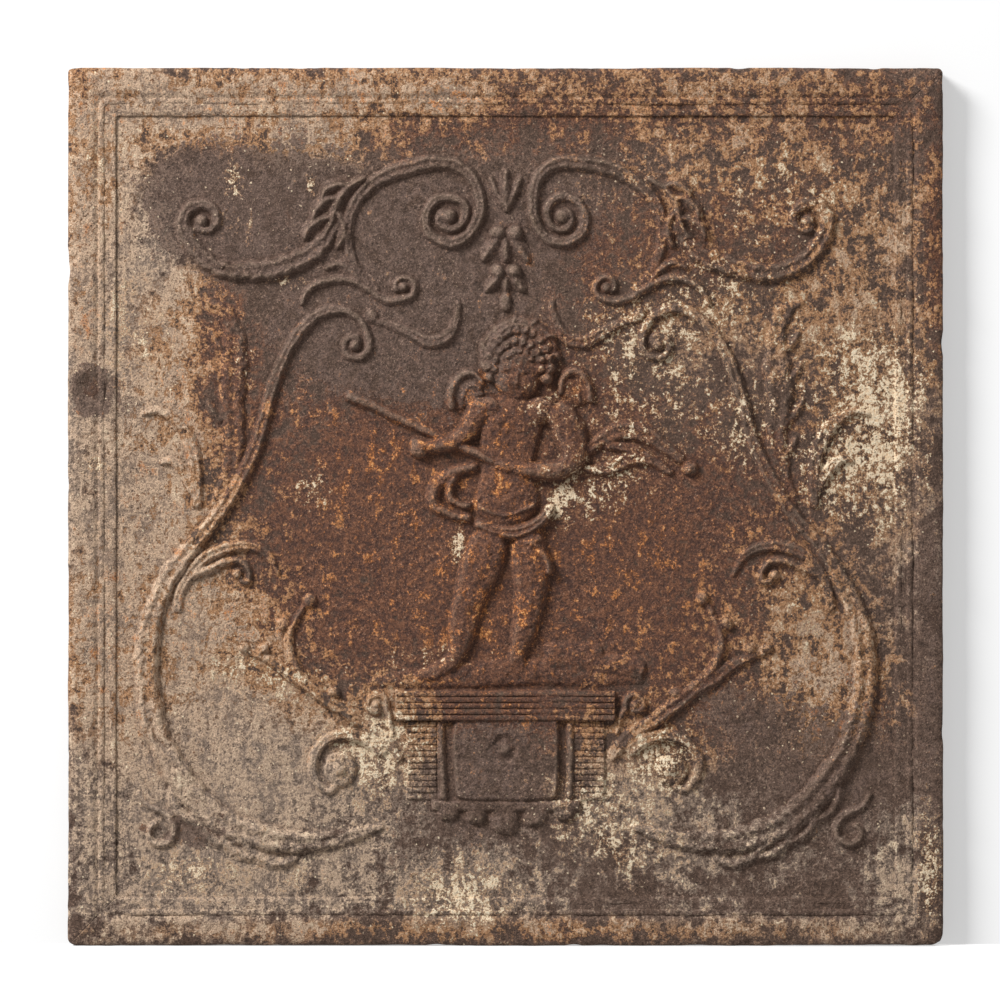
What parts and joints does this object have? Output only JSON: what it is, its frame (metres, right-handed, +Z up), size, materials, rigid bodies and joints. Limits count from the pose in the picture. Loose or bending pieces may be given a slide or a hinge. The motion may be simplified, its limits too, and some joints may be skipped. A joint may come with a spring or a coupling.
{
  "type": "fireback",
  "caption": "Square cast-iron fireback with a beaded moulded border and, in low relief, a scrolled cartouche round a winged child on a reeded pedestal",
  "frame": {"origin": "middle of the bottom of the bounding box, which is the middle of the edge it stands on", "axes": "+Z up, the decorated face looks along -Y, the flat back along +Y, +X to the right seen from the front"},
  "size_m": [0.7, 0.03, 0.702],
  "materials": {
    "plate_iron": "rough sand-cast skin, brown-grey, pitted",
    "border_iron": "rough, rusted brown with pale lime bloom",
    "ornament_iron": "worn relief, rust brown with lime bloom",
    "figure_iron": "worn relief, red-brown rust",
    "pedestal_iron": "worn relief, dark rust brown"
  },
  "bodies": {
    "root": {"plate": "plate_iron", "border_bottom": "border_iron", "border_top": "border_iron", "border_left": "border_iron", "border_right": "border_iron", "child_torso": "figure_iron", "child_head": "figure_iron", "child_hair": "figure_iron", "hip_sash": "figure_iron", "child_left_leg": "figure_iron", "child_right_leg": "figure_iron", "staff": "figure_iron", "child_left_arm": "figure_iron", "child_right_arm": "figure_iron", "drapery_loop": "figure_iron", "scarf": "figure_iron", "left_wing": "figure_iron", "right_wing": "figure_iron", "ground_mound": "pedestal_iron", "pedestal_shelf": "pedestal_iron", "pedestal_panel": "pedestal_iron", "pedestal_rosette": "pedestal_iron", "pedestal_apron": "pedestal_iron", "palmette": "ornament_iron", "upper_husk": "ornament_iron", "lower_husk": "ornament_iron", "pilaster_left": "pedestal_iron", "pedestal_side_left": "pedestal_iron", "leaf_spray_left": "ornament_iron", "plinth_scroll_left": "ornament_iron", "lower_volute_left": "ornament_iron", "flank_scroll_left": "ornament_iron", "inner_volute_left": "ornament_iron", "flank_leaf_left": "ornament_iron", "outer_spray_left": "ornament_iron", "foot_leaf_left": "ornament_iron", "corner_curl_left": "ornament_iron", "shoulder_leaf_left": "ornament_iron", "top_scroll_left": "ornament_iron", "shoulder_scroll_left": "ornament_iron", "vine_left": "ornament_iron", "crescent_leaf_left": "ornament_iron", "pilaster_right": "pedestal_iron", "pedestal_side_right": "pedestal_iron", "leaf_spray_right": "ornament_iron", "plinth_scroll_right": "ornament_iron", "lower_volute_right": "ornament_iron", "flank_scroll_right": "ornament_iron", "inner_volute_right": "ornament_iron", "flank_leaf_right": "ornament_iron", "outer_spray_right": "ornament_iron", "foot_leaf_right": "ornament_iron", "corner_curl_right": "ornament_iron", "shoulder_leaf_right": "ornament_iron", "top_scroll_right": "ornament_iron", "shoulder_scroll_right": "ornament_iron", "vine_right": "ornament_iron", "crescent_leaf_right": "ornament_iron"}
  },
  "joints": []
}
